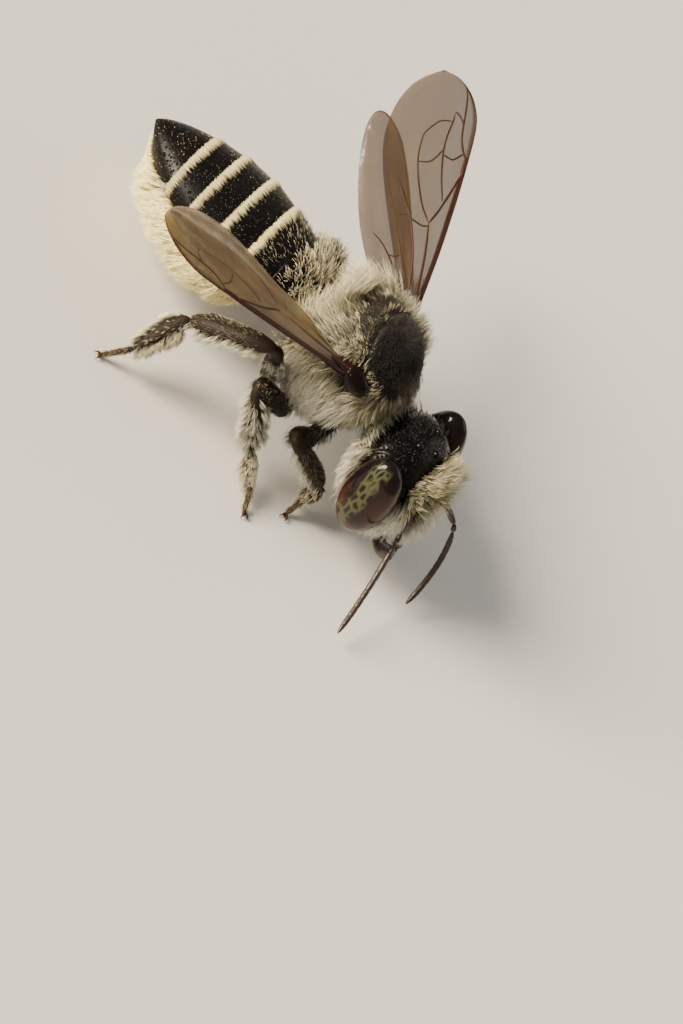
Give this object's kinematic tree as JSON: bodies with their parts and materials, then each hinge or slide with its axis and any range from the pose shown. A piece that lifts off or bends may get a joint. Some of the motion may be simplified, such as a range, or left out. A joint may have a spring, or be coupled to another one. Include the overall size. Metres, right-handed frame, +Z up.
{
  "type": "leafcutter bee",
  "caption": "Female leafcutter bee standing with spread wings: black abdomen with pale hair bands, cream pollen brush beneath, furry thorax and large dark eyes.",
  "frame": {"origin": "on the floor, below the middle of the whole bee, wings and feelers included", "axes": "+Z up; the bee faces -Y; her left side is +X"},
  "size_m": [0.0125, 0.013, 0.0054],
  "materials": {
    "pale_coat": "dense grey-cream hair, dull",
    "dark_coat": "short dark hair over pitted black shell",
    "black_shell": "pitted black shell with a soft shine",
    "compound_eye": "smooth, dark purple-brown with an olive net",
    "amber_wing": "clear orange-brown membrane with dark veins",
    "smoky_wing": "clear smoky brown membrane with a faint rainbow",
    "antenna": "dark grey-brown, ringed, satin",
    "leg": "dark brown shell under pale hair",
    "mandible": "dark red-brown, satin",
    "tegula": "dark brown, glossy"
  },
  "bodies": {
    "root": {"thorax": "pale_coat", "scutellum": "dark_coat", "propodeum": "pale_coat", "neck": "black_shell", "waist": "black_shell", "tegula_right": "tegula", "tegula_left": "tegula", "head": "dark_coat", "eye_right": "compound_eye", "mandible_right": "mandible", "scape_right": "antenna", "flagellum_right": "antenna", "eye_left": "compound_eye", "mandible_left": "mandible", "scape_left": "antenna", "flagellum_left": "antenna", "abdomen_segment_1": "pale_coat", "abdomen_segment_2": "black_shell", "abdomen_segment_3": "black_shell", "abdomen_segment_4": "black_shell", "abdomen_segment_5": "black_shell", "abdomen_segment_6": "black_shell", "forewing_right": "amber_wing", "hindwing_right": "amber_wing", "forewing_left": "smoky_wing", "hindwing_left": "smoky_wing", "coxa_front_right": "leg", "femur_front_right": "leg", "tibia_front_right": "leg", "basitarsus_front_right": "leg", "tarsus_front_right": "leg", "coxa_mid_right": "leg", "femur_mid_right": "leg", "tibia_mid_right": "leg", "basitarsus_mid_right": "leg", "tarsus_mid_right": "leg", "coxa_hind_right": "leg", "femur_hind_right": "leg", "tibia_hind_right": "leg", "basitarsus_hind_right": "leg", "tarsus_hind_right": "leg", "coxa_front_left": "leg", "femur_front_left": "leg", "tibia_front_left": "leg", "basitarsus_front_left": "leg", "tarsus_front_left": "leg", "coxa_mid_left": "leg", "femur_mid_left": "leg", "tibia_mid_left": "leg", "basitarsus_mid_left": "leg", "tarsus_mid_left": "leg", "coxa_hind_left": "leg", "femur_hind_left": "leg", "tibia_hind_left": "leg", "basitarsus_hind_left": "leg", "tarsus_hind_left": "leg"}
  },
  "joints": []
}
